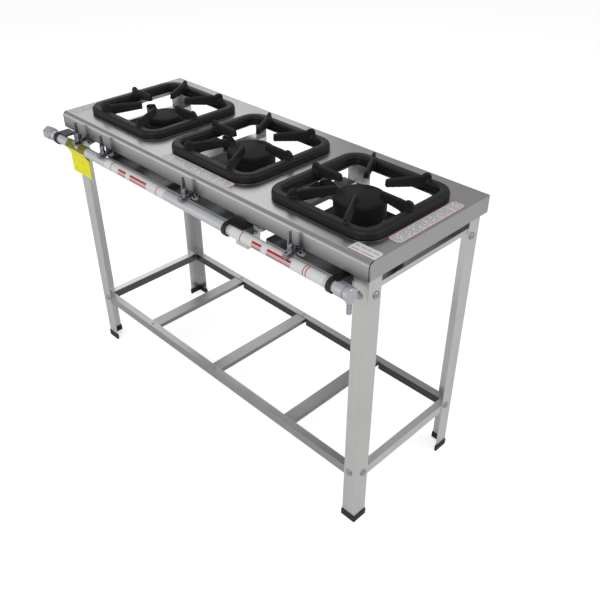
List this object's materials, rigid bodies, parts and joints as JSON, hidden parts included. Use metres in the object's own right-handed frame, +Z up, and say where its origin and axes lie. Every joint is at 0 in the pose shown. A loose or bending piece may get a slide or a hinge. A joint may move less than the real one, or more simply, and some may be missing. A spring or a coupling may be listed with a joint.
{
  "type": "gas burner stand",
  "caption": "Open steel stand with a sheet top plate, cast iron grates over gas burners, a front gas pipe with tap valves, drip trays and a lower shelf frame.",
  "frame": {"origin": "on the floor, under the middle of the whole stand's box, its gas pipe included", "axes": "+X left to right, +Y from the gas pipe to the back, +Z up"},
  "size_m": [1.23, 0.4558, 0.8385],
  "materials": {
    "plate_steel": "fine brushed stainless sheet",
    "frame_steel": "satin light grey coating on folded steel",
    "black_plastic": "matt moulded plastic",
    "zinc_fasteners": "bright zinc",
    "black_cast_iron": "satin black enamel on cast iron",
    "burner_black": "matt black heat paint",
    "grey_casting": "rough grey casting",
    "zinc_sheet": "zinc-plated sheet",
    "grey_pipe": "grey painted steel pipe",
    "black_steel": "black painted steel",
    "chrome": "polished chrome plate",
    "tray_steel": "plain galvanised sheet",
    "yellow_tag": "yellow plastic film"
  },
  "bodies": {
    "frame": {"top_plate": "plate_steel", "front_left_leg": "frame_steel", "front_right_leg": "frame_steel", "rear_left_leg": "frame_steel", "rear_right_leg": "frame_steel", "foot_caps": "black_plastic", "front_shelf_rail": "frame_steel", "rear_shelf_rail": "frame_steel", "left_shelf_rail": "frame_steel", "right_shelf_rail": "frame_steel", "left_shelf_bar": "frame_steel", "middle_shelf_bar": "frame_steel", "right_shelf_bar": "frame_steel", "shelf_screws": "zinc_fasteners", "left_side_bar": "frame_steel", "left_inner_bar": "frame_steel", "right_inner_bar": "frame_steel", "right_side_bar": "frame_steel", "corner_brackets": "frame_steel", "bar_hangers": "frame_steel", "front_centre_bracket": "frame_steel", "rear_centre_bracket": "frame_steel", "frame_bolts": "zinc_fasteners", "frame_nuts": "zinc_fasteners", "clamp_screws": "zinc_fasteners", "left_burner": "grey_casting", "middle_burner": "grey_casting", "right_burner": "grey_casting", "burner_bolts": "zinc_fasteners", "gas_pipe": "grey_pipe", "pipe_end_cap": "grey_pipe", "pipe_elbow": "grey_pipe", "hose_tail": "grey_pipe", "left_pipe_clamp": "black_steel", "centre_pipe_clamp": "black_steel", "right_pipe_clamp": "black_steel", "right_valve": "chrome", "middle_valve": "chrome", "inner_left_valve": "chrome", "outer_left_valve": "chrome", "tray_bearers": "frame_steel", "hang_tag": "yellow_tag"},
    "left_grate": {"left_grate": "black_cast_iron"},
    "middle_grate": {"middle_grate": "black_cast_iron"},
    "right_grate": {"right_grate": "black_cast_iron"},
    "middle_burner_cap": {"middle_burner_cap": "burner_black"},
    "right_burner_cap": {"right_burner_cap": "burner_black"},
    "left_ring_cap": {"left_ring_cap": "burner_black"},
    "left_inner_cap": {"left_inner_cap": "burner_black"},
    "right_air_shutter": {"right_air_shutter": "zinc_sheet"},
    "middle_air_shutter": {"middle_air_shutter": "zinc_sheet"},
    "inner_left_air_shutter": {"inner_left_air_shutter": "zinc_sheet"},
    "outer_left_air_shutter": {"outer_left_air_shutter": "zinc_sheet"},
    "right_valve_handle": {"right_valve_handle": "chrome"},
    "middle_valve_handle": {"middle_valve_handle": "chrome"},
    "inner_left_valve_handle": {"inner_left_valve_handle": "chrome"},
    "outer_left_valve_handle": {"outer_left_valve_handle": "chrome"},
    "long_drip_tray": {"long_drip_tray": "tray_steel"},
    "short_drip_tray": {"short_drip_tray": "tray_steel"}
  },
  "joints": [
    {"name": "left_grate_lift", "type": "slide", "parent": "frame", "child": "left_grate", "axis": [0, 0, 1], "range_m": [0, 0.1]},
    {"name": "middle_grate_lift", "type": "slide", "parent": "frame", "child": "middle_grate", "axis": [0, 0, 1], "range_m": [0, 0.1]},
    {"name": "right_grate_lift", "type": "slide", "parent": "frame", "child": "right_grate", "axis": [0, 0, 1], "range_m": [0, 0.1]},
    {"name": "middle_burner_cap_lift", "type": "slide", "parent": "frame", "child": "middle_burner_cap", "axis": [0, 0, 1], "range_m": [0, 0.005]},
    {"name": "right_burner_cap_lift", "type": "slide", "parent": "frame", "child": "right_burner_cap", "axis": [0, 0, 1], "range_m": [0, 0.005]},
    {"name": "left_ring_cap_lift", "type": "slide", "parent": "frame", "child": "left_ring_cap", "axis": [0, 0, 1], "range_m": [0, 0.005]},
    {"name": "left_inner_cap_lift", "type": "slide", "parent": "frame", "child": "left_inner_cap", "axis": [0, 0, 1], "range_m": [0, 0.005]},
    {"name": "right_air_shutter_turn", "type": "hinge", "parent": "frame", "child": "right_air_shutter", "pos_m": [0.41, -0.17843, 0.743], "axis": [0, 1, 0], "range_deg": [-45, 45]},
    {"name": "middle_air_shutter_turn", "type": "hinge", "parent": "frame", "child": "middle_air_shutter", "pos_m": [0.04, -0.17843, 0.743], "axis": [0, 1, 0], "range_deg": [-45, 45]},
    {"name": "inner_left_air_shutter_turn", "type": "hinge", "parent": "frame", "child": "inner_left_air_shutter", "pos_m": [-0.33, -0.17843, 0.743], "axis": [0, 1, 0], "range_deg": [-45, 45]},
    {"name": "outer_left_air_shutter_turn", "type": "hinge", "parent": "frame", "child": "outer_left_air_shutter", "pos_m": [-0.438, -0.17843, 0.743], "axis": [0, 1, 0], "range_deg": [-45, 45]},
    {"name": "right_valve_turn", "type": "hinge", "parent": "frame", "child": "right_valve_handle", "pos_m": [0.41, -0.21013, 0.76], "axis": [0, 0, 1], "range_deg": [0, 90]},
    {"name": "middle_valve_turn", "type": "hinge", "parent": "frame", "child": "middle_valve_handle", "pos_m": [0.045, -0.21013, 0.76], "axis": [0, 0, 1], "range_deg": [0, 90]},
    {"name": "inner_left_valve_turn", "type": "hinge", "parent": "frame", "child": "inner_left_valve_handle", "pos_m": [-0.312, -0.21013, 0.76], "axis": [0, 0, 1], "range_deg": [0, 90]},
    {"name": "outer_left_valve_turn", "type": "hinge", "parent": "frame", "child": "outer_left_valve_handle", "pos_m": [-0.438, -0.21013, 0.76], "axis": [0, 0, 1], "range_deg": [0, 90]},
    {"name": "long_tray_slide", "type": "slide", "parent": "frame", "child": "long_drip_tray", "axis": [0, 1, 0], "range_m": [0, 0.15]},
    {"name": "short_tray_slide", "type": "slide", "parent": "frame", "child": "short_drip_tray", "axis": [0, 1, 0], "range_m": [0, 0.15]}
  ]
}
